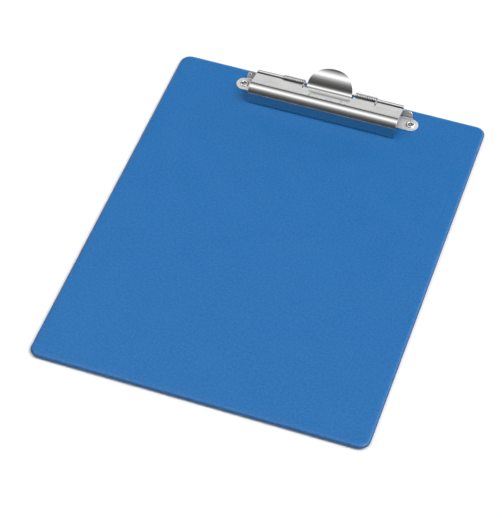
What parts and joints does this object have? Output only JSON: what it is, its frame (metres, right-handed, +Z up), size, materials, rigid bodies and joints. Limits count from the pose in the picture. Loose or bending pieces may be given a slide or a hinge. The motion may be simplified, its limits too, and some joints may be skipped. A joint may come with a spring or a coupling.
{
  "type": "clipboard",
  "caption": "A4 clipboard: film-covered card board with a sprung, toothed sheet-metal jaw on a rear hinge, opened by a round thumb tab.",
  "frame": {"origin": "centre of the board's underside", "axes": "+X across the board, +Y along the board towards the clip, +Z up out of the writing face"},
  "size_m": [0.245, 0.3175, 0.021],
  "materials": {
    "card": "raw grey board",
    "film": "fine matt grain",
    "nickel": "bright nickel plate",
    "rod_steel": "drawn and plated",
    "spring_steel": "drawn spring wire",
    "eyelet": "bright nickel plate",
    "washer": "zinc plate"
  },
  "bodies": {
    "board": {"board_core": "card", "front_cover": "film", "back_cover": "film", "base_plate": "nickel", "hinge_rod": "rod_steel", "spring_left": "spring_steel", "spring_right": "spring_steel", "eyelet_left": "eyelet", "eyelet_right": "eyelet", "washer_left": "washer", "washer_right": "washer"},
    "jaw": {"clamp_jaw": "nickel"}
  },
  "joints": [
    {"name": "jaw_hinge", "type": "hinge", "parent": "board", "child": "jaw", "pos_m": [0, 0.1485, 0.0112], "axis": [-1, 0, 0], "range_deg": [0, 55], "stiffness_Nm_per_rad": 0.222, "springref_deg": -67.61, "deforming": ["spring_left", "spring_right"]}
  ]
}
